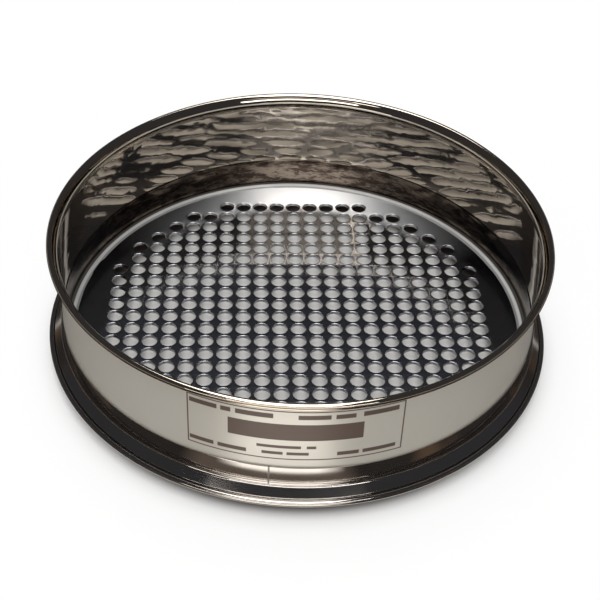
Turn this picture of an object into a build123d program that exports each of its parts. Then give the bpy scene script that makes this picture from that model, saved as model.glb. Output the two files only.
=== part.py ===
from build123d import *
from math import atan2, ceil, cos, degrees, radians, sin
import os

# Test sieve of 300 mm nominal size with a perforated plate as its sieving surface.
# Millimetres, +Z up. The origin is on the sieve's axis, at the foot of the skirt,
# and the rows of holes run along X and Y. Every round piece is a sheet section in the
# XZ plane, turned about Z.

# ---- upper frame ---------------------------------------------------------------
FRAME_BORE_RADIUS = 150.0       # clear radius of the straight wall
FRAME_WALL = 0.8                # sheet thickness
FRAME_DEPTH = 75.0              # from the top of the plate to the top of the rim
FRAME_FOOT_DROP = 2.0           # foot of the wall below the top of the plate
STEP_HEIGHT = 3.1               # height over which the wall steps out around the inner ring
RIM_ROLL_RADIUS = 2.1           # outside radius of the rolled rim
RIM_ROLL_OFFSET = 4.6           # from the bore out to the middle of the roll
RIM_LEAD_IN = 7.0               # height over which the wall opens into the roll
RIM_ROLL_END = -105.0           # direction in which the rolled edge ends, degrees

# ---- inner ring: carries the plate and reaches down as the nesting skirt ---------
RING_WALL = 0.7                 # sheet thickness, flush with the bore inside
RING_HEIGHT = 21.0              # from the top of the plate to the upper edge
SKIRT_DEPTH = 10.0              # from the underside of the plate to the foot
SKIRT_CLEARANCE = 0.6           # between the skirt and the bore of a sieve below
NECK_START_DROP = 3.5           # start of the drawn-in part below the top of the plate
NECK_HEIGHT = 2.0               # height over which the ring is drawn in

# ---- flanged collar: stands over the rim of the sieve below ----------------------
COLLAR_WALL = 0.8               # sheet thickness
COLLAR_RISE = 0.6               # upper edge above that of the inner ring
COLLAR_CORNER_BEND = 1.5        # bend radius from the upright band into the web
WEB_TOP_RISE = 1.0              # top of the level web above the top of the plate
WEB_END_BEND = 1.0              # bend radius from the web down into the flange roll
FLANGE_ROLL_RADIUS = 2.1        # outside radius of the rolled flange
FLANGE_ROLL_END = 108.0         # direction in which the rolled edge ends, degrees
NESTING_CLEARANCE = 0.5         # between the flange and the rim of a sieve below

# ---- perforated plate --------------------------------------------------------------
PLATE_THICKNESS = 2.0
HOLE_RADIUS = 5.0
HOLE_PITCH = 12.0               # square pitch, along X and along Y
EDGE_LAND = 14.0                # least metal between a hole and the edge of the plate

# ---- sealing fillet ------------------------------------------------------------------
FILLET_WIDTH = 5.4              # across the plate
FILLET_HEIGHT = 1.6             # up the inner ring
FILLET_CROWN = 0.4              # how far its face bulges

# ---- places worked out from the sizes above --------------------------------------------
PLATE_BOTTOM_Z = SKIRT_DEPTH
PLATE_TOP_Z = PLATE_BOTTOM_Z + PLATE_THICKNESS
RING_TOP_Z = PLATE_TOP_Z + RING_HEIGHT
RING_OUTER_RADIUS = FRAME_BORE_RADIUS + RING_WALL
FRAME_FOOT_RADIUS = RING_OUTER_RADIUS + FRAME_WALL
RIM_ROLL_R = FRAME_BORE_RADIUS + RIM_ROLL_OFFSET
RIM_ROLL_Z = PLATE_TOP_Z + FRAME_DEPTH - RIM_ROLL_RADIUS
FLANGE_INNER_RADIUS = RIM_ROLL_R + RIM_ROLL_RADIUS + NESTING_CLEARANCE
FLANGE_ROLL_R = FLANGE_INNER_RADIUS + FLANGE_ROLL_RADIUS
FLANGE_ROLL_Z = PLATE_TOP_Z     # the roll's middle is level with the plate's top


def on_circle(centre, radius, direction):
    """Point of a circle in the section plane, at a direction in degrees."""
    return (centre[0] + radius * cos(radians(direction)),
            centre[1] + radius * sin(radians(direction)))


def save(piece, node):
    piece.label = node
    export_step(piece, f"parts/{node}.step")


def turn(outline, node):
    """Turn a closed outline of the XZ plane about the Z axis and write the piece."""
    section = Plane.XZ * make_face(outline)
    save(revolve(section, axis=Axis.Z), node)


def upper_frame():
    """Wall that steps out around the inner ring below, and rolls outward into the rim."""
    roll = (RIM_ROLL_R, RIM_ROLL_Z)
    foot_z = PLATE_TOP_Z - FRAME_FOOT_DROP
    opening_z = RIM_ROLL_Z - RIM_LEAD_IN
    # The lead-in arc leaves the wall upright and runs into the roll's circle.
    lead_radius = ((RIM_LEAD_IN ** 2 + RIM_ROLL_OFFSET ** 2 - RIM_ROLL_RADIUS ** 2)
                   / (2 * (RIM_ROLL_OFFSET - RIM_ROLL_RADIUS)))
    lead = (FRAME_BORE_RADIUS + lead_radius, opening_z)
    meeting = degrees(atan2(RIM_LEAD_IN, roll[0] - lead[0]))
    back_lead = lead_radius - FRAME_WALL
    back_roll = RIM_ROLL_RADIUS - FRAME_WALL
    outer_radius = FRAME_BORE_RADIUS + FRAME_WALL
    step_z = RING_TOP_Z + STEP_HEIGHT
    outline = [
        Line((FRAME_BORE_RADIUS, step_z), (FRAME_BORE_RADIUS, opening_z)),
        CenterArc(lead, lead_radius, 180, meeting - 180),
        CenterArc(roll, RIM_ROLL_RADIUS, meeting, RIM_ROLL_END - meeting),
        Line(on_circle(roll, RIM_ROLL_RADIUS, RIM_ROLL_END),
             on_circle(roll, back_roll, RIM_ROLL_END)),
        CenterArc(roll, back_roll, RIM_ROLL_END, meeting - RIM_ROLL_END),
        CenterArc(lead, back_lead, meeting, 180 - meeting),
        Line((outer_radius, opening_z), (outer_radius, step_z)),
        Line((outer_radius, step_z), (FRAME_FOOT_RADIUS, RING_TOP_Z)),
        Line((FRAME_FOOT_RADIUS, RING_TOP_Z), (FRAME_FOOT_RADIUS, foot_z)),
        Line((FRAME_FOOT_RADIUS, foot_z), (RING_OUTER_RADIUS, foot_z)),
        Line((RING_OUTER_RADIUS, foot_z), (RING_OUTER_RADIUS, RING_TOP_Z)),
        Line((RING_OUTER_RADIUS, RING_TOP_Z), (FRAME_BORE_RADIUS, step_z)),
    ]
    turn(outline, "upper_frame")


def inner_ring():
    """Ring flush with the bore, drawn in below the frame so that the skirt nests."""
    neck_top = PLATE_TOP_Z - NECK_START_DROP
    neck_foot = neck_top - NECK_HEIGHT
    skirt_outer = FRAME_BORE_RADIUS - SKIRT_CLEARANCE
    skirt_inner = skirt_outer - RING_WALL
    outline = Polyline(
        (RING_OUTER_RADIUS, RING_TOP_Z),
        (RING_OUTER_RADIUS, neck_top),
        (skirt_outer, neck_foot),
        (skirt_outer, 0),
        (skirt_inner, 0),
        (skirt_inner, neck_foot),
        (FRAME_BORE_RADIUS, neck_top),
        (FRAME_BORE_RADIUS, RING_TOP_Z),
        close=True,
    )
    turn(outline.edges(), "inner_ring")


def flanged_collar():
    """Upright band around the frame, a level web, and an edge rolled into the flange."""
    top_z = RING_TOP_Z + COLLAR_RISE
    back_band = FRAME_FOOT_RADIUS + COLLAR_WALL
    web_top = PLATE_TOP_Z + WEB_TOP_RISE
    web_foot = web_top - COLLAR_WALL
    back_flange = FLANGE_INNER_RADIUS + COLLAR_WALL
    back_roll = FLANGE_ROLL_RADIUS - COLLAR_WALL
    wide_corner = COLLAR_CORNER_BEND + COLLAR_WALL
    small_bend = WEB_END_BEND - COLLAR_WALL
    corner = (back_band + COLLAR_CORNER_BEND, web_top + COLLAR_CORNER_BEND)
    web_end = (back_flange - WEB_END_BEND, web_top - WEB_END_BEND)
    roll = (FLANGE_ROLL_R, FLANGE_ROLL_Z)
    outline = [
        Line((back_band, top_z), (back_band, corner[1])),
        CenterArc(corner, COLLAR_CORNER_BEND, 180, 90),
        Line((corner[0], web_top), (web_end[0], web_top)),
        CenterArc(web_end, WEB_END_BEND, 90, -90),
        CenterArc(roll, back_roll, 180, 180 + FLANGE_ROLL_END),
        Line(on_circle(roll, back_roll, FLANGE_ROLL_END),
             on_circle(roll, FLANGE_ROLL_RADIUS, FLANGE_ROLL_END)),
        CenterArc(roll, FLANGE_ROLL_RADIUS, FLANGE_ROLL_END, -180 - FLANGE_ROLL_END),
        CenterArc(web_end, small_bend, 0, 90),
        Line((web_end[0], web_foot), (corner[0], web_foot)),
        CenterArc(corner, wide_corner, 270, -90),
        Line((FRAME_FOOT_RADIUS, corner[1]), (FRAME_FOOT_RADIUS, top_z)),
        Line((FRAME_FOOT_RADIUS, top_z), (back_band, top_z)),
    ]
    turn(outline, "flanged_collar")


def hole_places():
    """Centres on the square grid that leave the land at the edge of the plate."""
    field_radius = FRAME_BORE_RADIUS - EDGE_LAND - HOLE_RADIUS
    reach = ceil(field_radius / HOLE_PITCH)
    rows = range(-reach, reach + 1)
    places = [Vector(column * HOLE_PITCH, row * HOLE_PITCH) for row in rows for column in rows]
    return [place for place in places if place.length <= field_radius]


def perforated_plate():
    """Round plate punched on a square grid."""
    blank = Circle(FRAME_BORE_RADIUS)
    punch = Circle(HOLE_RADIUS)
    sheet = blank - [Pos(place) * punch for place in hole_places()]
    plate = Pos(0, 0, PLATE_BOTTOM_Z) * extrude(sheet, PLATE_THICKNESS)
    save(plate, "perforated_plate")


def sealing_fillet():
    """Run of solder that closes the corner between the plate and the ring."""
    corner = (FRAME_BORE_RADIUS, PLATE_TOP_Z)
    toe = (FRAME_BORE_RADIUS - FILLET_WIDTH, PLATE_TOP_Z)
    crown = (FRAME_BORE_RADIUS, PLATE_TOP_Z + FILLET_HEIGHT)
    face = SagittaArc(toe, crown, FILLET_CROWN)
    turn([Line(corner, toe), face, Line(crown, corner)], "sealing_fillet")


os.makedirs("parts", exist_ok=True)
upper_frame()
inner_ring()
flanged_collar()
perforated_plate()
sealing_fillet()
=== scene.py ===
"""A 300 mm test sieve with a perforated plate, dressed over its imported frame.

Everything is in metres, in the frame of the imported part: +Z up, the axis of the sieve
on Z, the foot of the skirt at zero, and the rows of holes along X and Y.
"""
from __future__ import annotations

import logging
import math
from dataclasses import dataclass
from enum import Enum

import bmesh
import bpy
from mathutils import Matrix, Vector

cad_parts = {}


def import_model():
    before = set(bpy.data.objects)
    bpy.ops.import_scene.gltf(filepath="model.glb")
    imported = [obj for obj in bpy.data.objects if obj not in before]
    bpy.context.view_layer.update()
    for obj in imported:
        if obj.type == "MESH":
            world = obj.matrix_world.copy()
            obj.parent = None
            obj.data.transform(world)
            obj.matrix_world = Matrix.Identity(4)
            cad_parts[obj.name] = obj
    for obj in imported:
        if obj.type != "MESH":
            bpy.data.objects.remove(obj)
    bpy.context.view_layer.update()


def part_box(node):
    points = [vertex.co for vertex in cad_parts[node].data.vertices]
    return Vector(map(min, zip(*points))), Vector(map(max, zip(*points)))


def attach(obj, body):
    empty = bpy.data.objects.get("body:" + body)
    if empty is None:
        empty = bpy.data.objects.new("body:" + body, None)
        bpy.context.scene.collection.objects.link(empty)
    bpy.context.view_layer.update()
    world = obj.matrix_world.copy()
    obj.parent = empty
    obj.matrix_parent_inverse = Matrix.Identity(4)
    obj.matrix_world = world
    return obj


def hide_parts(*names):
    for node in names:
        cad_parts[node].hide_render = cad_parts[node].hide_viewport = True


LOG = logging.getLogger("test_sieve")
MM = 0.001
DEGREES = 180.0 / math.pi
WELD_GAP = 0.002 * MM
TILE_GAP = 0.005 * MM
LEVEL_GAP = 0.001 * MM
Point = tuple[float, float]
Colour = tuple[float, float, float, float]


# --------------------------------------------------------------------------- sizes


@dataclass(frozen=True)
class SieveSizes:
    """Sizes that several pieces share, in metres.

    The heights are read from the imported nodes. The radii are the maker's.
    """

    plate_top: float
    plate_bottom: float
    ring_top: float
    rim_top: float
    frame_foot: float
    bore_radius: float = 150.0 * MM
    frame_wall: float = 0.8 * MM
    ring_wall: float = 0.7 * MM
    skirt_clearance: float = 0.6 * MM
    nesting_clearance: float = 0.5 * MM

    @classmethod
    def of_frame(cls) -> SieveSizes:
        """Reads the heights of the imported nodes.

        Returns:
            The sizes of the sieve that the frame holds.
        """
        plate_low, plate_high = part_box("perforated_plate")
        frame_low, frame_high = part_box("upper_frame")
        return cls(
            plate_top=plate_high.z,
            plate_bottom=plate_low.z,
            ring_top=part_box("inner_ring")[1].z,
            rim_top=frame_high.z,
            frame_foot=frame_low.z,
        )

    @property
    def seat_radius(self) -> float:
        """Radius at which the frame's stepped-out foot sits on the inner ring."""
        return self.bore_radius + self.ring_wall

    @property
    def foot_radius(self) -> float:
        """Outer radius of the frame's stepped-out foot, which the collar hugs."""
        return self.seat_radius + self.frame_wall


# --------------------------------------------------------------------------- modelling


def select_none() -> None:
    """Deselects every object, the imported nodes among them."""
    bpy.ops.object.select_all(action="DESELECT")


def make_active(piece: bpy.types.Object) -> None:
    """Selects one object alone and makes it the active one.

    Args:
        piece: The object to work on.
    """
    select_none()
    piece.select_set(True)
    bpy.context.view_layer.objects.active = piece


def select_mesh(action: str) -> None:
    """Selects or deselects the whole mesh in edit mode.

    Args:
        action: SELECT or DESELECT.
    """
    bpy.ops.mesh.select_all(action=action)


def arc(centre: Point, radius: float, start: float, end: float, steps: int) -> list[Point]:
    """Points of an arc in the section plane, both ends included.

    Args:
        centre: Middle of the circle, as radius and height.
        radius: Radius of the arc.
        start: First direction, in degrees.
        end: Last direction, in degrees.
        steps: Number of chords.

    Returns:
        The points, from start to end.
    """
    turns = [math.radians(start + (end - start) * step / steps) for step in range(steps + 1)]
    return [(centre[0] + radius * math.cos(t), centre[1] + radius * math.sin(t)) for t in turns]


def flatten_wide_faces(piece: bpy.types.Object, smooth: float) -> None:
    """Shades a piece smooth, with the wide faces kept true next to small bends.

    Args:
        piece: The object.
        smooth: Edges flatter than this angle are shaded smooth, in degrees.
    """
    make_active(piece)
    bpy.ops.object.shade_smooth_by_angle(angle=math.radians(smooth))
    weigh = piece.modifiers.new("wide_faces_first", "WEIGHTED_NORMAL")
    weigh.weight = 100
    weigh.keep_sharp = True
    bpy.ops.object.modifier_apply(modifier=weigh.name)


def turned(name: str, outline: list[Point], steps: int, smooth: float = 35.0) -> bpy.types.Object:
    """Spins a closed outline about Z, as a lathe turns a section.

    Args:
        name: Name of the new object.
        outline: Corners of the section as radius and height, in order.
        steps: Number of segments around the axis.
        smooth: Edges flatter than this angle are shaded smooth, in degrees.

    Returns:
        The finished object, closed and with its normals outward.
    """
    select_none()
    bpy.ops.mesh.primitive_plane_add(size=MM)
    piece = bpy.context.object
    piece.name = name
    piece.data.name = name
    bpy.ops.object.mode_set(mode="EDIT")
    select_mesh("SELECT")
    bpy.ops.mesh.merge(type="CENTER")
    bpy.ops.transform.translate(value=(outline[0][0], 0.0, outline[0][1]))
    for here, there in zip(outline, outline[1:] + outline[:1]):
        step = (there[0] - here[0], 0.0, there[1] - here[1])
        bpy.ops.mesh.extrude_vertices_move(TRANSFORM_OT_translate={"value": step})
    select_mesh("SELECT")
    bpy.ops.mesh.remove_doubles(threshold=WELD_GAP)
    bpy.ops.mesh.spin(steps=steps, angle=math.tau, center=(0, 0, 0), axis=(0, 0, 1))
    select_mesh("SELECT")
    bpy.ops.mesh.remove_doubles(threshold=WELD_GAP)
    bpy.ops.mesh.normals_make_consistent(inside=False)
    bpy.ops.object.mode_set(mode="OBJECT")
    flatten_wide_faces(piece, smooth)
    return piece


def finish_piece(piece: bpy.types.Object, node: str) -> None:
    """Seats a finished piece on the frame and reports it.

    Args:
        piece: The object.
        node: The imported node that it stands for.
    """
    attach(piece, "root")
    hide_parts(node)
    LOG.info("%s: %d faces", piece.name, len(piece.data.polygons))


# --------------------------------------------------------------------------- shader maths


class Number:
    """A number socket of a shader. Arithmetic on it adds Math nodes."""

    def __init__(self, sheet: ShaderSheet, socket: bpy.types.NodeSocket) -> None:
        """Wraps a socket of the sheet that it belongs to."""
        self.sheet = sheet
        self.socket = socket

    def _math(self, operation: str, *values: object, clamp: bool = False) -> Number:
        """Adds one Math node.

        Args:
            operation: The node's operation.
            values: Its inputs, as numbers, sockets or Number.
            clamp: Whether the result is kept between 0 and 1.

        Returns:
            The result.
        """
        inputs = dict(enumerate(values))
        settings = {"operation": operation, "use_clamp": clamp}
        return Number(self.sheet, self.sheet.node("ShaderNodeMath", settings, inputs).outputs[0])

    def __add__(self, other: object) -> Number:
        """Sum."""
        return self._math("ADD", self, other)

    __radd__ = __add__

    def __sub__(self, other: object) -> Number:
        """Difference."""
        return self._math("SUBTRACT", self, other)

    def __rsub__(self, other: object) -> Number:
        """Difference, with the number on the left."""
        return self._math("SUBTRACT", other, self)

    def __mul__(self, other: object) -> Number:
        """Product."""
        return self._math("MULTIPLY", self, other)

    __rmul__ = __mul__

    def __truediv__(self, other: object) -> Number:
        """Quotient."""
        return self._math("DIVIDE", self, other)

    def root(self) -> Number:
        """Square root."""
        return self._math("SQRT", self)

    def clamped(self) -> Number:
        """The number kept between 0 and 1."""
        return self._math("ADD", self, 0.0, clamp=True)

    def most(self, other: object) -> Number:
        """The larger of two numbers."""
        return self._math("MAXIMUM", self, other)

    def direction_of(self, other: object) -> Number:
        """Angle of the vector (other, self), in radians."""
        return self._math("ARCTAN2", self, other)

    def between(self, low: float, high: float, soft: float) -> Number:
        """A band that is 1 between two limits and fades out past them.

        Args:
            low: Lower limit.
            high: Upper limit.
            soft: Width of the fade, centred on each limit.

        Returns:
            The mask.
        """
        rise = self._math("ADD", (self - (low - soft / 2)) / soft, 0.0, clamp=True)
        fall = self._math("ADD", ((high + soft / 2) - self) / soft, 0.0, clamp=True)
        return rise * fall

    def eased(self, low: float, high: float, start: float, end: float) -> Number:
        """The number moved smoothly from one range to another.

        Args:
            low: Value that gives start.
            high: Value that gives end.
            start: Result at low.
            end: Result at high.

        Returns:
            The result, kept within its range.
        """
        settings = {"interpolation_type": "SMOOTHSTEP"}
        inputs = {"Value": self, "From Min": low, "From Max": high, "To Min": start, "To Max": end}
        return Number(self.sheet, self.sheet.node("ShaderNodeMapRange", settings, inputs).outputs[0])


class ShaderSheet:
    """The node tree of one material, with a Principled surface to feed."""

    def __init__(self, name: str) -> None:
        """Starts a material of that name."""
        self.material = bpy.data.materials.new(name)
        self.material.use_nodes = True
        self.tree = self.material.node_tree
        self.surface = self.tree.nodes["Principled BSDF"]

    def node(self, kind: str, settings: dict, inputs: dict) -> bpy.types.Node:
        """Adds a node, sets it up and feeds its sockets.

        Args:
            kind: The node's type.
            settings: Its properties, which are set first.
            inputs: Values or links by the socket's name or index.

        Returns:
            The node.
        """
        made = self.tree.nodes.new(kind)
        for key, value in settings.items():
            setattr(made, key, value)
        for key, value in inputs.items():
            self.feed(made.inputs[key], value)
        return made

    def feed(self, socket: bpy.types.NodeSocket, value: object) -> None:
        """Sets a socket to a constant or links it.

        Args:
            socket: The input.
            value: A number, colour or vector, a socket, or a Number.
        """
        source = value.socket if isinstance(value, Number) else value
        if isinstance(source, bpy.types.NodeSocket):
            self.tree.links.new(source, socket)
        else:
            socket.default_value = source

    def set(self, **inputs: object) -> None:
        """Feeds sockets of the Principled surface, named with _ for each space."""
        for key, value in inputs.items():
            self.feed(self.surface.inputs[key.replace("_", " ")], value)

    def place(self) -> tuple[bpy.types.NodeSocket, Number, Number, Number]:
        """The point on the piece.

        Returns:
            Its vector and its three coordinates, in metres.
        """
        vector = self.node("ShaderNodeTexCoord", {}, {}).outputs["Object"]
        parts = self.node("ShaderNodeSeparateXYZ", {}, {0: vector}).outputs
        return vector, Number(self, parts[0]), Number(self, parts[1]), Number(self, parts[2])

    def polar(self) -> tuple[Number, Number, Number]:
        """The point on the piece, as it stands round the axis.

        Returns:
            Its distance from the axis in metres, its direction in degrees and its height.
        """
        _, x, y, z = self.place()
        return (x * x + y * y).root(), y.direction_of(x) * DEGREES, z

    def vector(self, x: object, y: object, z: object) -> bpy.types.NodeSocket:
        """A vector from three numbers or sockets."""
        return self.node("ShaderNodeCombineXYZ", {}, {0: x, 1: y, 2: z}).outputs[0]

    def noise(self, vector: object, scale: float, detail: float = 3.0, roughness: float = 0.5,
              distortion: float = 0.0) -> Number:
        """Noise between about 0 and 1.

        Args:
            vector: Where it is read.
            scale: Its scale.
            detail: Number of finer layers.
            roughness: Strength of the finer layers.
            distortion: How far it is warped.

        Returns:
            The noise.
        """
        inputs = {"Vector": vector, "Scale": scale, "Detail": detail, "Roughness": roughness,
                  "Distortion": distortion}
        made = self.node("ShaderNodeTexNoise", {"noise_dimensions": "3D"}, inputs)
        return Number(self, made.outputs[0])

    def blend(self, share: object, first: object, second: object) -> bpy.types.NodeSocket:
        """Mixes two colours.

        Args:
            share: Share of the second colour.
            first: First colour.
            second: Second colour.

        Returns:
            The mixed colour.
        """
        settings = {"data_type": "RGBA", "blend_type": "MIX"}
        made = self.node("ShaderNodeMix", settings, {0: share, 6: first, 7: second})
        return made.outputs[2]

    def finish_with(self, second: bpy.types.Node, share: object) -> None:
        """Lays a second surface over the first.

        Args:
            second: The second surface.
            share: Share of the second surface.
        """
        inputs = {0: share, 1: self.surface.outputs[0], 2: second.outputs[0]}
        mixed = self.node("ShaderNodeMixShader", {}, inputs)
        self.show(mixed)

    def show(self, surface: bpy.types.Node) -> None:
        """Makes a surface the one that the material shows."""
        self.feed(self.tree.nodes["Material Output"].inputs["Surface"], surface.outputs[0])

    def bump(self, height: object, distance: float, strength: float = 1.0) -> bpy.types.NodeSocket:
        """A normal from a height map.

        Args:
            height: The map, 0 to 1.
            distance: Height that 1 stands for, in metres.
            strength: Strength of the bump.

        Returns:
            The normal.
        """
        inputs = {"Height": height, "Distance": distance, "Strength": strength}
        return self.node("ShaderNodeBump", {}, inputs).outputs[0]


# --------------------------------------------------------------------------- finishes


def bare_steel(name: str) -> ShaderSheet:
    """Starts a material of bare stainless steel.

    Args:
        name: The material's name.

    Returns:
        A sheet that is metal all over.
    """
    sheet = ShaderSheet(name)
    sheet.set(Metallic=1.0)
    return sheet


def around(sheet: ShaderSheet, along: float, up: float) -> tuple[bpy.types.NodeSocket, Number, Number]:
    """Coordinates that run round the axis, for marks left by a lathe or a belt.

    Args:
        sheet: The material's sheet.
        along: Scale round the axis: small for long marks.
        up: Scale up the wall: large for fine marks.

    Returns:
        The vector, the direction round the axis in degrees, and the height in metres.
    """
    _, x, y, z = sheet.place()
    radius = (x * x + y * y).root()
    vector = sheet.vector(x / radius * along, y / radius * along, z * up + radius * up)
    return vector, y.direction_of(x) * DEGREES, z


class PrintLine(Enum):
    """The etched plate of data on the wall: left, right, low and high of each bar.

    Left and right are directions round the axis in degrees, low and high are
    heights above the sieving plate in millimetres.
    """

    MAKER_FIELD = (-107.0, -78.3, 42.5, 55.1)
    TOP_LEFT_WORD = (-115.6, -109.4, 59.2, 62.6)
    TOP_LEFT_SHORT = (-108.6, -106.4, 59.2, 62.6)
    TOP_LEFT_FIGURES = (-105.4, -97.4, 59.2, 62.8)
    TOP_MIDDLE_WORD = (-92.2, -85.4, 59.1, 62.4)
    TOP_MIDDLE_SHORT = (-84.4, -80.2, 59.1, 62.4)
    TOP_RIGHT_FIGURES = (-78.6, -70.8, 59.2, 62.8)
    MIDDLE_WORD = (-100.8, -91.4, 36.0, 38.2)
    MIDDLE_SHORT = (-90.2, -88.2, 36.0, 38.2)
    STANDARD_WORD = (-99.7, -95.2, 30.8, 33.1)
    STANDARD_FIGURES = (-94.4, -89.7, 30.8, 33.1)
    LOW_LEFT_WORD = (-115.7, -110.2, 30.1, 33.1)
    LOW_LEFT_NAME = (-109.3, -103.0, 30.1, 33.1)
    LOW_RIGHT_WORD = (-83.7, -79.0, 30.1, 33.0)
    LOW_RIGHT_NAME = (-78.2, -70.8, 30.1, 33.0)


class SatinWall:
    """Satin steel of the outside wall, with its etched data plate."""

    border = (-116.2, -69.3, 27.0, 65.3)
    line_width = 0.85
    soft_side = 0.12
    soft_edge = 0.3
    ink: Colour = (0.083, 0.051, 0.037, 1.0)
    dull: Colour = (0.53, 0.497, 0.435, 1.0)
    bright: Colour = (0.65, 0.62, 0.56, 1.0)

    def __init__(self, sizes: SieveSizes) -> None:
        """Remembers where the sieving plate is."""
        self.sizes = sizes

    def _bar(self, turn: Number, height: Number, box: tuple[float, float, float, float]) -> Number:
        """Mask of one bar.

        Args:
            turn: Direction round the axis, in degrees.
            height: Height above the plate, in millimetres.
            box: Left, right, low and high of the bar.

        Returns:
            The mask.
        """
        left, right, low, high = box
        return turn.between(left, right, self.soft_side) * height.between(low, high, self.soft_edge)

    def _etching(self, turn: Number, height: Number) -> Number:
        """Mask of all that is etched.

        Args:
            turn: Direction round the axis, in degrees.
            height: Height above the plate, in millimetres.

        Returns:
            The mask.
        """
        left, right, low, high = self.border
        turn_width = self.line_width * MM / self.sizes.bore_radius * DEGREES
        inner = (left + turn_width, right - turn_width, low + self.line_width, high - self.line_width)
        etched = self._bar(turn, height, self.border) - self._bar(turn, height, inner)
        for line in PrintLine:
            etched = etched.most(self._bar(turn, height, line.value))
        return etched.clamped()

    def material(self) -> bpy.types.Material:
        """Makes the finish.

        Returns:
            The material.
        """
        sheet = bare_steel("satin_steel")
        streaks, turn, z = around(sheet, 5.0, 700.0)
        height = (z - self.sizes.plate_top) * (1.0 / MM)
        brushed = sheet.noise(streaks, 1.0, 4.0, 0.65)
        smear = sheet.noise(sheet.place()[0], 11.0, 4.0, 0.6, 0.6)
        etched = self._etching(turn, height)
        tone = (brushed - 0.5) * 0.10 + (smear - 0.5) * 0.16
        bare = sheet.blend((tone + 0.5).clamped(), self.dull, self.bright)
        sheet.set(
            Base_Color=sheet.blend(etched * 0.96, bare, self.ink),
            Roughness=(brushed * 0.08 + smear * 0.10 + 0.28 + etched * 0.14).clamped(),
            Metallic=0.35 - etched * 0.2,
            Normal=sheet.bump(brushed - etched * 0.25, 0.02 * MM, 0.5),
        )
        return sheet.material


class PolishedWall:
    """Mirror polish of the inside wall and of the rolled rim."""

    dim: Colour = (0.50, 0.43, 0.345, 1.0)
    bright: Colour = (0.68, 0.60, 0.50, 1.0)
    waviness = 0.35 * MM

    def material(self) -> bpy.types.Material:
        """Makes the finish.

        Returns:
            The material.
        """
        sheet = bare_steel("polished_steel")
        lathe, _, _ = around(sheet, 4.0, 500.0)
        lines = sheet.noise(lathe, 1.0, 3.0, 0.6)
        place, x, y, z = sheet.place()
        sway = sheet.noise(sheet.vector(x * 40.0, y * 40.0, z * 55.0), 1.0, 2.0, 0.45, 0.3)
        film = sheet.noise(place, 9.0, 5.0, 0.6, 0.4)
        sheet.set(
            Base_Color=sheet.blend(film, self.dim, self.bright),
            Roughness=(film * 0.045 + lines * 0.02 + 0.008).clamped(),
            Normal=sheet.bump(sway + lines * 0.02, self.waviness, 0.6),
        )
        return sheet.material


class RingSteel:
    """Dull, streaked and slightly heat-tinted steel of the inner ring."""

    tinted: Colour = (0.052, 0.037, 0.030, 1.0)
    bright: Colour = (0.215, 0.174, 0.138, 1.0)

    def material(self) -> bpy.types.Material:
        """Makes the finish.

        Returns:
            The material.
        """
        sheet = bare_steel("ring_steel")
        stretched, _, _ = around(sheet, 24.0, 560.0)
        runs = sheet.noise(stretched, 1.0, 5.0, 0.66, 0.9)
        blotch = sheet.noise(stretched, 0.3, 3.0, 0.5, 0.5)
        clear = (runs + blotch - 0.5).eased(0.38, 0.64, 0.0, 1.0)
        sheet.set(
            Base_Color=sheet.blend(clear, self.tinted, self.bright),
            Roughness=(runs * 0.12 + 0.06).clamped(),
            Normal=sheet.bump(runs, 0.05 * MM, 0.8),
        )
        return sheet.material


class CollarSteel:
    """Polished steel of the flanged collar, with lathe lines and its weld seam."""

    seam_turn = -98.0
    seam_width = 0.32
    seam_foot = 7.5
    seam_top = 24.0
    dull: Colour = (0.46, 0.42, 0.38, 1.0)
    bright: Colour = (0.60, 0.57, 0.54, 1.0)
    seam_tint: Colour = (0.06, 0.048, 0.04, 1.0)

    def __init__(self, sizes: SieveSizes) -> None:
        """Remembers where the sieving plate is."""
        self.sizes = sizes

    def material(self) -> bpy.types.Material:
        """Makes the finish.

        Returns:
            The material.
        """
        sheet = bare_steel("collar_steel")
        lathe, turn, z = around(sheet, 3.0, 420.0)
        lines = sheet.noise(lathe, 1.0, 5.0, 0.7)
        film = sheet.noise(sheet.place()[0], 14.0, 4.0, 0.6, 0.3)
        height = (z - self.sizes.plate_top) * (1.0 / MM)
        half = self.seam_width / 2
        seam = turn.between(self.seam_turn - half, self.seam_turn + half, 0.25)
        seam = seam * height.between(self.seam_foot, self.seam_top, 2.0)
        bare = sheet.blend(film, self.dull, self.bright)
        sheet.set(
            Base_Color=sheet.blend(seam * 0.8, bare, self.seam_tint),
            Roughness=(lines * 0.06 + film * 0.06 + seam * 0.2 + 0.03).clamped(),
            Normal=sheet.bump(lines, 0.012 * MM, 0.6),
        )
        return sheet.material


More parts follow.
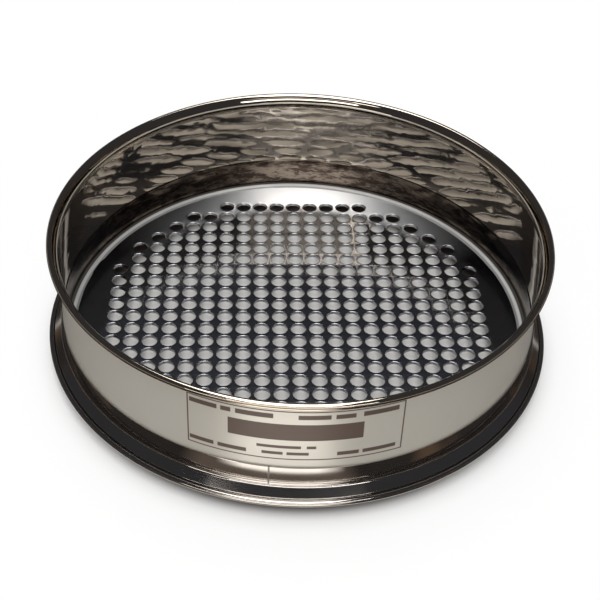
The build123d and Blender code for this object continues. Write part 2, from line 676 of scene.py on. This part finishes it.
class PlateSteel:
    """Bright-rolled steel of the plate: grain along X, and ring-shaped scour marks near its far edge,
    painted far brighter in the back sector only, a painted highlight.
    """

    dim: Colour = (0.30, 0.305, 0.33, 1.0)
    bright: Colour = (0.44, 0.44, 0.46, 1.0)
    # The scour marks' colour is far brighter than the plate's: painted highlight.
    scoured_highlight: Colour = (0.86, 0.86, 0.86, 1.0)
    scoured_highlight_from = 113.0 * MM
    scoured_highlight_fade = 14.0 * MM
    scoured_highlight_turns = (52.0, 126.0, 50.0)

    def material(self) -> bpy.types.Material:
        """Makes the finish.

        Returns:
            The material.
        """
        sheet = bare_steel("plate_steel")
        place, x, y, z = sheet.place()
        grain = sheet.noise(sheet.vector(x * 25.0, y * 1400.0, z * 25.0), 1.0, 3.0, 0.6)
        film = sheet.noise(place, 7.0, 5.0, 0.6, 0.5)
        radius, turn, _ = sheet.polar()
        outer = radius.eased(self.scoured_highlight_from, self.scoured_highlight_from + self.scoured_highlight_fade, 0.0, 1.0)
        sheet.set(
            Base_Color=sheet.blend(film, self.dim, self.bright),
            Roughness=(grain * 0.06 + film * 0.06 + 0.07).clamped(),
            Normal=sheet.bump(grain, 0.006 * MM, 0.5),
        )
        # The scour marks are laid over the back sector only, where the highlight falls: painted
        # highlight on a brushed finish.
        rings = sheet.node("ShaderNodeBsdfPrincipled", {}, {
            "Base Color": self.scoured_highlight, "Metallic": 1.0, "Roughness": 0.46,
            "Anisotropic": 0.96, "Anisotropic Rotation": 0.25})
        sheet.finish_with(rings, outer * turn.between(*self.scoured_highlight_turns) * 0.86)
        return sheet.material


class SolderBright:
    """Bright, slightly uneven solder, with painted shade along its toe where it meets the plate, and
    stained up the ring.
    """

    dull: Colour = (0.50, 0.49, 0.47, 1.0)
    bright: Colour = (0.64, 0.63, 0.61, 1.0)
    toe_shade: Colour = (0.14, 0.14, 0.145, 1.0)
    stain: Colour = (0.045, 0.038, 0.033, 1.0)
    toe_shade_ends = 146.4 * MM
    stain_starts = 147.7 * MM

    def material(self) -> bpy.types.Material:
        """Makes the finish.

        Returns:
            The material.
        """
        sheet = bare_steel("solder")
        uneven = sheet.noise(sheet.place()[0], 60.0, 4.0, 0.6)
        radius, _, _ = sheet.polar()
        # Darker along the toe: painted shade where the run meets the plate.
        toe = radius.eased(self.toe_shade_ends - 0.8 * MM, self.toe_shade_ends, 0.72, 0.0)
        stained = radius.eased(self.stain_starts, self.stain_starts + 0.7 * MM, 0.0, 0.94)
        run = sheet.blend(toe, sheet.blend(uneven, self.dull, self.bright), self.toe_shade)
        sheet.set(
            Base_Color=sheet.blend(stained, run, self.stain),
            Metallic=0.35,
            Roughness=(uneven * 0.16 + 0.34).clamped(),
            Normal=sheet.bump(uneven, 0.12 * MM, 0.5),
        )
        return sheet.material


# --------------------------------------------------------------------------- pieces


@dataclass
class UpperFrame:
    """The frame's wall: stepped out around the ring below, rolled into the rim above."""

    sizes: SieveSizes
    roll_radius: float = 2.1 * MM
    roll_offset: float = 4.6 * MM
    lead_in: float = 7.0 * MM
    roll_end: float = -105.0
    step_height: float = 3.1 * MM
    segments: int = 288

    def outline(self) -> list[Point]:
        """Works out the section.

        Returns:
            The corners of the sheet's section, starting at the bore's foot.
        """
        sizes = self.sizes
        bore, wall = sizes.bore_radius, sizes.frame_wall
        roll = (bore + self.roll_offset, sizes.rim_top - self.roll_radius)
        opening = roll[1] - self.lead_in
        lead_radius = ((self.lead_in ** 2 + self.roll_offset ** 2 - self.roll_radius ** 2)
                       / (2 * (self.roll_offset - self.roll_radius)))
        lead = (bore + lead_radius, opening)
        meeting = math.degrees(math.atan2(self.lead_in, roll[0] - lead[0]))
        step = sizes.ring_top + self.step_height
        return [
            (sizes.seat_radius, sizes.frame_foot),
            (sizes.seat_radius, sizes.ring_top),
            (bore, step),
            *arc(lead, lead_radius, 180.0, meeting, 10),
            *arc(roll, self.roll_radius, meeting, self.roll_end, 30)[1:],
            *arc(roll, self.roll_radius - wall, self.roll_end, meeting, 22),
            *arc(lead, lead_radius - wall, meeting, 180.0, 8)[1:],
            (bore + wall, step),
            (sizes.foot_radius, sizes.ring_top),
            (sizes.foot_radius, sizes.frame_foot),
        ]

    def build(self) -> None:
        """Models and dresses the wall."""
        piece = turned("upper_frame_wall", self.outline(), self.segments)
        piece.data.materials.append(PolishedWall().material())
        piece.data.materials.append(SatinWall(self.sizes).material())
        satin_top = self.sizes.rim_top - self.roll_radius - self.lead_in * 0.35
        middle = self.sizes.bore_radius + self.sizes.frame_wall / 2
        for face in piece.data.polygons:
            out = math.hypot(face.center.x, face.center.y) > middle
            face.material_index = int(out and face.center.z < satin_top)
        finish_piece(piece, "upper_frame")


@dataclass
class InnerRing:
    """The ring that carries the plate and reaches down as the nesting skirt."""

    sizes: SieveSizes
    neck_drop: float = 3.5 * MM
    neck_height: float = 2.0 * MM
    segments: int = 240

    def outline(self) -> list[Point]:
        """Works out the section.

        Returns:
            The corners of the ring's section.
        """
        sizes = self.sizes
        neck_top = sizes.plate_top - self.neck_drop
        neck_foot = neck_top - self.neck_height
        outer = sizes.bore_radius - sizes.skirt_clearance
        inner = outer - sizes.ring_wall
        lip = 0.12 * MM
        return [
            (sizes.seat_radius, sizes.ring_top),
            (sizes.seat_radius, neck_top),
            (outer, neck_foot),
            (outer, lip),
            (outer - lip, 0.0),
            (inner + lip, 0.0),
            (inner, lip),
            (inner, neck_foot),
            (sizes.bore_radius, neck_top),
            (sizes.bore_radius, sizes.ring_top - lip),
            (sizes.bore_radius + lip, sizes.ring_top),
        ]

    def build(self) -> None:
        """Models and dresses the ring."""
        piece = turned("inner_ring_band", self.outline(), self.segments, 20.0)
        piece.data.materials.append(RingSteel().material())
        finish_piece(piece, "inner_ring")


@dataclass
class FlangedCollar:
    """The polished ring: an upright band, a web that runs out, and the rolled flange."""

    sizes: SieveSizes
    wall: float = 0.8 * MM
    rise: float = 0.6 * MM
    corner_rise: float = 7.3 * MM
    corner_bend: float = 3.5 * MM
    web_fall: float = 42.0
    web_end_bend: float = 1.0 * MM
    roll_radius: float = 2.1 * MM
    roll_end: float = 118.0
    rim_reach: float = 6.7 * MM
    edge: float = 0.15 * MM
    segments: int = 288

    def outline(self) -> list[Point]:
        """Works out the section.

        Returns:
            The corners of the sheet's section, starting at its upper inner edge.
        """
        sizes = self.sizes
        top = sizes.ring_top + self.rise
        foot = sizes.foot_radius
        face = foot + self.wall
        flange = sizes.bore_radius + self.rim_reach + sizes.nesting_clearance
        fall = math.radians(self.web_fall)
        corner_z = sizes.plate_top + self.corner_rise
        reach = self.corner_bend * math.tan((math.pi / 2 - fall) / 2)
        corner = (face + self.corner_bend, corner_z + reach)
        last = flange + self.wall - self.web_end_bend * (1.0 - math.sin(fall))
        web_end = (flange + self.wall - self.web_end_bend,
                   corner_z - (last - face) * math.tan(fall) - self.web_end_bend * math.cos(fall))
        roll = (flange + self.roll_radius, sizes.plate_top)
        turn_in, turn_out = 270.0 - self.web_fall, 90.0 - self.web_fall
        return [
            (foot, top - self.edge),
            *arc(corner, self.corner_bend + self.wall, 180.0, turn_in, 8),
            *arc(web_end, self.web_end_bend - self.wall, turn_out, 0.0, 3),
            *arc(roll, self.roll_radius, 180.0, 360.0 + self.roll_end, 40),
            *arc(roll, self.roll_radius - self.wall, 360.0 + self.roll_end, 180.0, 24),
            *arc(web_end, self.web_end_bend, 0.0, turn_out, 6),
            *arc(corner, self.corner_bend, turn_in, 180.0, 12),
            (face, top - self.edge),
            (face - self.edge, top),
            (foot + self.edge, top),
        ]

    def build(self) -> None:
        """Models and dresses the collar."""
        piece = turned("flanged_collar_ring", self.outline(), self.segments)
        piece.data.materials.append(CollarSteel(self.sizes).material())
        finish_piece(piece, "flanged_collar")


@dataclass
class PerforatedPlate:
    """The punched plate: one tile of metal around a hole, repeated over the field."""

    sizes: SieveSizes
    pitch: float = 12.0 * MM
    hole_radius: float = 5.0 * MM
    roll_over: float = 0.42 * MM
    edge_land: float = 14.0 * MM
    sides: int = 16
    rim_segments: int = 240

    @property
    def field_radius(self) -> float:
        """Distance from the axis that no hole's middle passes."""
        return self.sizes.bore_radius - self.edge_land - self.hole_radius

    @property
    def reach(self) -> int:
        """Rows of holes on each side of the middle row."""
        return int(self.field_radius / self.pitch)

    def _is_punched(self, x: float, y: float) -> bool:
        """Whether the tile at a place belongs to the field of holes."""
        column, row = round(x / self.pitch), round(y / self.pitch)
        return math.hypot(column, row) * self.pitch <= self.field_radius

    def _select_loop(self, mesh: bmesh.types.BMesh, height: float, radius: float) -> None:
        """Selects the vertices of a tile at a height and within a radius.

        Args:
            mesh: The mesh in edit mode.
            height: Height of the loop.
            radius: Radius that the loop doesn't pass.
        """
        select_mesh("DESELECT")
        for vertex in mesh.verts:
            near = math.hypot(vertex.co.x, vertex.co.y) <= radius
            vertex.select = near and abs(vertex.co.z - height) < LEVEL_GAP
        mesh.select_flush(True)

    def _tile(self) -> bpy.types.Object:
        """Models the metal around one hole.

        Returns:
            The tile, open at its four sides.
        """
        top, thickness = self.sizes.plate_top, self.sizes.plate_top - self.sizes.plate_bottom
        select_none()
        bpy.ops.mesh.primitive_plane_add(size=self.pitch, location=(0, 0, top))
        tile = bpy.context.object
        bpy.ops.object.transform_apply(location=True)
        bpy.ops.object.mode_set(mode="EDIT")
        select_mesh("SELECT")
        bpy.ops.mesh.delete(type="ONLY_FACE")
        select_mesh("SELECT")
        bpy.ops.mesh.subdivide(number_cuts=self.sides // 4 - 1)
        bpy.ops.mesh.primitive_circle_add(
            vertices=self.sides, radius=self.hole_radius + self.roll_over, location=(0, 0, top))
        select_mesh("SELECT")
        bpy.ops.mesh.bridge_edge_loops()
        select_mesh("SELECT")
        bpy.ops.mesh.duplicate_move(TRANSFORM_OT_translate={"value": (0, 0, -thickness)})
        mesh = bmesh.from_edit_mesh(tile.data)
        loop_radius = self.hole_radius + self.roll_over + 0.01 * MM
        self._select_loop(mesh, top - thickness, loop_radius)
        self._resize(self.hole_radius / (self.hole_radius + self.roll_over))
        self._select_loop(mesh, top, loop_radius)
        rolled = self.hole_radius + self.roll_over * (1 - math.sin(math.pi / 4))
        fall = self.roll_over * (1 - math.cos(math.pi / 4))
        self._extrude_rim(-fall, rolled / (self.hole_radius + self.roll_over))
        self._extrude_rim(-(self.roll_over - fall), self.hole_radius / rolled)
        self._extrude_rim(-(thickness - self.roll_over), 1.0)
        select_mesh("SELECT")
        bpy.ops.mesh.remove_doubles(threshold=WELD_GAP)
        bpy.ops.object.mode_set(mode="OBJECT")
        return tile

    def _resize(self, share: float) -> None:
        """Scales the selected loop about the axis of its hole."""
        bpy.ops.transform.resize(value=(share, share, 1.0), center_override=(0, 0, 0))

    def _extrude_rim(self, fall: float, share: float) -> None:
        """Draws the selected loop down and in.

        Args:
            fall: Change of height.
            share: Change of radius.
        """
        bpy.ops.mesh.extrude_edges_move(TRANSFORM_OT_translate={"value": (0, 0, fall)})
        self._resize(share)

    def _spread(self, tile: bpy.types.Object) -> None:
        """Repeats the tile over the field and cuts the corners of the field away.

        Args:
            tile: The tile at the middle of the plate.
        """
        rows = 2 * self.reach + 1
        for axis in range(2):
            copies = tile.modifiers.new("rows", "ARRAY")
            copies.use_relative_offset = False
            copies.use_constant_offset = True
            copies.constant_offset_displace = [self.pitch * (axis == 0), self.pitch * (axis == 1), 0]
            copies.count = rows
            copies.use_merge_vertices = True
            copies.merge_threshold = TILE_GAP
            bpy.ops.object.modifier_apply(modifier=copies.name)
        shift = -self.reach * self.pitch
        bpy.ops.object.mode_set(mode="EDIT")
        select_mesh("SELECT")
        bpy.ops.transform.translate(value=(shift, shift, 0))
        bpy.ops.mesh.remove_doubles(threshold=TILE_GAP)
        bpy.ops.mesh.select_mode(type="FACE")
        select_mesh("DESELECT")
        mesh = bmesh.from_edit_mesh(tile.data)
        for face in mesh.faces:
            middle = face.calc_center_median()
            face.select = not self._is_punched(middle.x, middle.y)
        bpy.ops.mesh.delete(type="FACE")
        bpy.ops.mesh.select_mode(type="VERT")

    def _close_edge(self, tile: bpy.types.Object) -> None:
        """Adds the plain land around the field and the plate's round edge.

        Args:
            tile: The field of holes, in edit mode.
        """
        top, bottom = self.sizes.plate_top, self.sizes.plate_bottom
        for height in (top, bottom):
            select_mesh("DESELECT")
            bpy.ops.mesh.primitive_circle_add(
                vertices=self.rim_segments, radius=self.sizes.bore_radius, location=(0, 0, height))
            mesh = bmesh.from_edit_mesh(tile.data)
            bpy.ops.mesh.select_mode(type="EDGE")
            select_mesh("DESELECT")
            for edge in mesh.edges:
                level = all(abs(v.co.z - height) < LEVEL_GAP for v in edge.verts)
                edge.select = level and len(edge.link_faces) < 2
            bpy.ops.mesh.fill(use_beauty=False)
            bpy.ops.mesh.select_mode(type="VERT")
        mesh = bmesh.from_edit_mesh(tile.data)
        bpy.ops.mesh.select_mode(type="EDGE")
        select_mesh("DESELECT")
        for edge in mesh.edges:
            middle = (edge.verts[0].co + edge.verts[1].co) / 2
            edge.select = math.hypot(middle.x, middle.y) > self.sizes.bore_radius - 1.0 * MM and (
                len(edge.link_faces) == 1)
        bpy.ops.mesh.bridge_edge_loops()
        bpy.ops.mesh.select_mode(type="VERT")
        select_mesh("SELECT")
        bpy.ops.mesh.normals_make_consistent(inside=False)
        bpy.ops.object.mode_set(mode="OBJECT")

    def build(self) -> None:
        """Models and dresses the plate."""
        piece = self._tile()
        self._spread(piece)
        self._close_edge(piece)
        piece.name = "punched_plate"
        piece.data.name = "punched_plate"
        flatten_wide_faces(piece, 60.0)
        piece.data.materials.append(PlateSteel().material())
        finish_piece(piece, "perforated_plate")


@dataclass
class SealingFillet:
    """The run of solder in the corner between the plate and the ring."""

    sizes: SieveSizes
    width: float = 5.4 * MM
    height: float = 1.6 * MM
    crown: float = 0.4 * MM
    segments: int = 300
    wander: tuple[tuple[float, float, float], ...] = (
        (156.0, 162.0, 0.9 * MM), (96.0, 118.0, 0.3 * MM), (20.0, 47.0, -0.25 * MM),
        (-40.0, -12.0, 0.3 * MM), (-150.0, -118.0, -0.3 * MM), (162.0, 171.0, 0.3 * MM))

    def outline(self) -> list[Point]:
        """Works out the section.

        Returns:
            The corners of the run's section.
        """
        corner = (self.sizes.bore_radius, self.sizes.plate_top)
        chord = math.hypot(self.width, self.height)
        radius = (chord ** 2 / 4 + self.crown ** 2) / (2 * self.crown)
        slope = math.atan2(self.height, self.width)
        depth = radius - self.crown
        toe = (corner[0] - self.width, corner[1])
        centre = (toe[0] + self.width / 2 + depth * math.sin(slope),
                  toe[1] + self.height / 2 - depth * math.cos(slope))
        half = math.degrees(math.asin(chord / 2 / radius))
        upright = 90.0 + math.degrees(slope)
        return [corner, *arc(centre, radius, upright + half, upright - half, 8)]

    def _vary_toe(self, piece: bpy.types.Object) -> None:
        """Moves the inner edge of the run in and out, as a hand-laid run wanders.

        Args:
            piece: The run, in object mode.
        """
        make_active(piece)
        bpy.ops.object.mode_set(mode="EDIT")
        mesh = bmesh.from_edit_mesh(piece.data)
        limit = self.sizes.bore_radius - self.width * 0.55
        for start, end, move in self.wander:
            select_mesh("DESELECT")
            for vertex in mesh.verts:
                turn = math.degrees(math.atan2(vertex.co.y, vertex.co.x))
                inner = math.hypot(vertex.co.x, vertex.co.y) < limit
                vertex.select = inner and start <= turn <= end
            mesh.select_flush(True)
            share = 1.0 + move / self.sizes.bore_radius
            bpy.ops.transform.resize(value=(share, share, 1.0), center_override=(0, 0, 0))
        bpy.ops.object.mode_set(mode="OBJECT")

    def build(self) -> None:
        """Models and dresses the run."""
        piece = turned("solder_run", self.outline(), self.segments, 30.0)
        self._vary_toe(piece)
        piece.data.materials.append(SolderBright().material())
        finish_piece(piece, "sealing_fillet")


# --------------------------------------------------------------------------- studio


@dataclass(frozen=True)
class Viewpoint:
    """The camera: where it looks from, how far it is and how it is turned."""

    azimuth: float = -3.340
    elevation: float = 40.814
    roll: float = 2.507
    distance: float = 834.95 * MM
    right_shift: float = 1.462 * MM
    up_shift: float = 10.832 * MM
    focal_pixels: float = 1265.25
    frame_pixels: float = 600.0
    sensor: float = 36.0

    def place(self, sizes: SieveSizes) -> None:
        """Adds the camera and makes it the scene's.

        Args:
            sizes: Sizes of the sieve, for the height that the camera aims at.
        """
        azimuth, elevation, roll = (math.radians(a) for a in (self.azimuth, self.elevation, self.roll))
        back = Vector((math.sin(azimuth) * math.cos(elevation),
                       -math.cos(azimuth) * math.cos(elevation), math.sin(elevation)))
        level = Vector((math.cos(azimuth), math.sin(azimuth), 0.0))
        steep = back.cross(level)
        right = level * math.cos(roll) + steep * math.sin(roll)
        up = steep * math.cos(roll) - level * math.sin(roll)
        aim = right * self.right_shift + up * self.up_shift + Vector((0, 0, sizes.plate_top))
        select_none()
        bpy.ops.object.camera_add()
        camera = bpy.context.object
        camera.name = "viewpoint"
        turn = Matrix((right, up, back)).transposed().to_4x4()
        camera.matrix_world = Matrix.Translation(aim + back * self.distance) @ turn
        camera.data.sensor_fit = "HORIZONTAL"
        camera.data.sensor_width = self.sensor
        camera.data.lens = self.focal_pixels / self.frame_pixels * self.sensor
        camera.data.clip_start = 0.01
        bpy.context.scene.camera = camera


@dataclass(frozen=True)
class Lamp:
    """One soft lamp, aimed at a point."""

    name: str
    place: tuple[float, float, float]
    aim: tuple[float, float, float]
    width: float
    height: float
    watts: float
    colour: tuple[float, float, float] = (1.0, 1.0, 1.0)

    def add(self) -> None:
        """Adds the lamp."""
        select_none()
        bpy.ops.object.light_add(type="AREA", location=self.place)
        lamp = bpy.context.object
        lamp.name = self.name
        lamp.rotation_euler = (Vector(self.aim) - Vector(self.place)).to_track_quat("-Z", "Y").to_euler()
        lamp.data.shape = "RECTANGLE"
        lamp.data.size = self.width
        lamp.data.size_y = self.height
        lamp.data.energy = self.watts
        lamp.data.color = self.colour


@dataclass(frozen=True)
class Window:
    """A lit opening in the screens: directions in degrees, heights in metres."""

    left: float
    right: float
    foot: float
    top: float
    soft: float
    glare: float
    soft_height: float = 0.03

    def mask(self, turn: Number, height: Number) -> Number:
        """Where the window is.

        Args:
            turn: Direction round the axis, in degrees.
            height: Height above the floor, in metres.

        Returns:
            The mask.
        """
        wide = turn.between(self.left, self.right, self.soft)
        return wide * height.between(self.foot, self.top, self.soft * self.soft_height)

    @property
    def tone(self) -> Colour:
        """Its light, a little warmer than white."""
        return (self.glare, self.glare * 0.99, self.glare * 0.97, 1.0)


class Studio:
    """Floor, dark screens and soft lamps around the sieve."""

    lamps = (
        Lamp("overhead_strip", (-0.08, 0.03, 1.60), (-0.08, 0.19, 0), 0.80, 2.14, 22.5),
        Lamp("front_window", (0.0, -2.0, 1.12), (0, 0.1, 0.05), 2.20, 0.30, 8.5, (1.0, 0.98, 0.95)),
        Lamp("low_front_strip", (-0.35, -1.6, 0.24), (0, 0, 0.03), 2.00, 0.20, 3.6, (1.0, 0.96, 0.90)),
    )
    windows = (
        Window(-122.0, -64.0, 1.96, 2.24, 10.0, 0.8),
        Window(-129.0, -117.0, 2.02, 2.19, 2.5, 4.2),
    )
    floor_radius = 4.0
    floor_pale: Colour = (0.94, 0.94, 0.935, 1.0)
    shaded_floor_inside: Colour = (0.70, 0.69, 0.67, 1.0)
    shadowed_floor_under_edge: Colour = (0.13, 0.105, 0.098, 1.0)
    screen_radius = 2.6
    screen_height = 3.4
    screen_lift = 0.003
    cloth_opening = 0.0635
    dark: Colour = (0.042, 0.043, 0.049, 1.0)
    dark_low: Colour = (0.030, 0.027, 0.025, 1.0)
    brown_fold: Colour = (0.15, 0.098, 0.064, 1.0)
    cloth_dark: Colour = (0.034, 0.031, 0.029, 1.0)
    cloth_crease: Colour = (0.150, 0.100, 0.066, 1.0)
    cloth_grey: Colour = (0.16, 0.13, 0.11, 1.0)
    cloth_glare: Colour = (2.1, 2.04, 1.94, 1.0)
    cloth_far: Colour = (0.80, 0.79, 0.77, 1.0)

    def _floor_finish(self) -> bpy.types.Material:
        """Makes the floor's finish: lit where it is seen, with the sieve's shadow left in, and painted
        shade under the sieve, darker inside its foot and darkest under the plate's plain edge.

        Returns:
            The material.
        """
        sheet = ShaderSheet("pale_floor")
        sheet.set(Roughness=0.9, Specular_IOR_Level=0.0)
        rays = sheet.node("ShaderNodeLightPath", {}, {}).outputs
        seen = Number(sheet, rays["Is Camera Ray"]) + Number(sheet, rays["Is Glossy Ray"])
        seen = (seen + Number(sheet, rays["Is Transmission Ray"])).clamped()
        reach, _, _ = sheet.polar()
        # Painted shade: the floor under the sieve is darker, and darkest under the plain edge of the
        # plate.
        under_edge = reach.eased(0.124, 0.138, 0.0, 1.0)
        inside = sheet.blend(under_edge, self.shaded_floor_inside, self.shadowed_floor_under_edge)
        outside = reach.eased(0.150, 0.158, 0.0, 1.0)
        sheet.set(Base_Color=sheet.blend(outside, inside, self.floor_pale))
        share = reach.eased(0.150, 0.175, 0.0, 0.82) + reach.eased(0.18, 0.32, 0.0, 0.18)
        glow = sheet.node("ShaderNodeEmission", {}, {"Color": (1, 1, 1, 1), "Strength": 1.0})
        sheet.finish_with(glow, seen * share)
        return sheet.material

    def _floor(self) -> None:
        """Lays the pale floor, which keeps the sieve's shadow."""
        select_none()
        bpy.ops.mesh.primitive_circle_add(vertices=96, radius=self.floor_radius, fill_type="NGON")
        floor = bpy.context.object
        floor.name = "floor"
        floor.data.materials.append(self._floor_finish())

    def _screen_shape(self) -> bpy.types.Object:
        """Models the screens: a drum whose floor is a cloth, open where the sieve stands.

        Returns:
            The screens.
        """
        select_none()
        bpy.ops.mesh.primitive_cylinder_add(
            vertices=96, radius=self.screen_radius, depth=self.screen_height,
            location=(0, 0, self.screen_height / 2 + self.screen_lift), end_fill_type="NGON")
        screen = bpy.context.object
        screen.name = "dark_screens"
        bpy.ops.object.mode_set(mode="EDIT")
        select_mesh("DESELECT")
        mesh = bmesh.from_edit_mesh(screen.data)
        for face in mesh.faces:
            face.select = face.normal.z < -0.5
        bpy.ops.mesh.delete(type="ONLY_FACE")
        for vertex in mesh.verts:
            vertex.select = vertex.co.z < 0
        mesh.select_flush(True)
        bpy.ops.mesh.extrude_edges_move()
        share = self.cloth_opening
        bpy.ops.transform.resize(value=(share, share, 1.0), center_override=(0, 0, 0))
        bpy.ops.object.mode_set(mode="OBJECT")
        return screen

    def _screen_finish(self) -> bpy.types.Material:
        """Makes the screens' tones: dark and brown folds, the cloth below and the windows. The screens
        glow with these tones instead of being lit: painted light standing for the room that the polished
        faces reflect.

        Returns:
            The material.
        """
        sheet = ShaderSheet("dark_cloth")
        place = sheet.place()[0]
        reach, turn, z = sheet.polar()
        height = z + self.screen_height / 2
        low = height.eased(0.2, 0.8, 1.0, 0.0)
        dark = sheet.blend(low, self.dark, self.dark_low)
        folds = sheet.noise(place, 1.6, 3.0, 0.55).eased(0.45, 0.7, 0.0, 1.0)
        tone = sheet.blend(folds * low, dark, self.brown_fold)
        level = height.eased(0.0005, 0.001, 1.0, 0.0)
        cloth = level * reach.eased(0.25, 0.35, 1.0, 0.0)
        tone = sheet.blend(cloth, tone, self.cloth_dark)
        creases = sheet.noise(place, 13.0, 2.0, 0.5).eased(0.50, 0.66, 0.0, 0.9)
        tone = sheet.blend(creases * cloth, tone, self.cloth_crease)
        tone = sheet.blend(turn.between(-119.0, -79.0, 6.0) * cloth, tone, self.cloth_grey)
        glare = turn.between(-109.0, -83.0, 7.0) * reach.eased(0.1745, 0.1775, 0.0, 1.0)
        tone = sheet.blend(glare * cloth, tone, self.cloth_glare)
        tone = sheet.blend(level * reach.eased(0.55, 0.90, 0.0, 1.0), tone, self.cloth_far)
        for window in self.windows:
            tone = sheet.blend(window.mask(turn, height), tone, window.tone)
        # The screens glow: painted light, seen only by the polished faces.
        sheet.show(sheet.node("ShaderNodeEmission", {}, {"Color": tone, "Strength": 1.0}))
        return sheet.material

    def _screens(self) -> None:
        """Stands dark screens round the sieve, which only its polished faces show."""
        screen = self._screen_shape()
        screen.data.materials.append(self._screen_finish())
        screen.visible_camera = False
        screen.visible_diffuse = False
        screen.visible_shadow = False

    def _world(self) -> None:
        """Makes the pale surroundings beyond the floor."""
        world = bpy.data.worlds.new("pale_room")
        bpy.context.scene.world = world
        world.use_nodes = True
        nodes, links = world.node_tree.nodes, world.node_tree.links
        rays = nodes.new("ShaderNodeLightPath")
        seen = nodes.new("ShaderNodeMath")
        seen.operation = "MAXIMUM"
        links.new(rays.outputs["Is Camera Ray"], seen.inputs[0])
        links.new(rays.outputs["Is Glossy Ray"], seen.inputs[1])
        strength = nodes.new("ShaderNodeMapRange")
        strength.inputs["To Min"].default_value = 0.35
        strength.inputs["To Max"].default_value = 1.0
        links.new(seen.outputs[0], strength.inputs["Value"])
        links.new(strength.outputs[0], nodes["Background"].inputs["Strength"])
        nodes["Background"].inputs["Color"].default_value = (1, 1, 1, 1)

    def build(self) -> None:
        """Sets up the whole studio."""
        self._floor()
        self._screens()
        self._world()
        for lamp in self.lamps:
            lamp.add()
        bpy.context.scene.view_settings.view_transform = "Standard"


# --------------------------------------------------------------------------- the whole


def main() -> None:
    """Loads the frame, dresses every node and sets up the studio."""
    logging.basicConfig(level=logging.INFO, format="%(message)s")
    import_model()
    sizes = SieveSizes.of_frame()
    UpperFrame(sizes).build()
    InnerRing(sizes).build()
    FlangedCollar(sizes).build()
    PerforatedPlate(sizes).build()
    SealingFillet(sizes).build()
    Studio().build()
    Viewpoint().place(sizes)


if __name__ == "__main__":
    main()
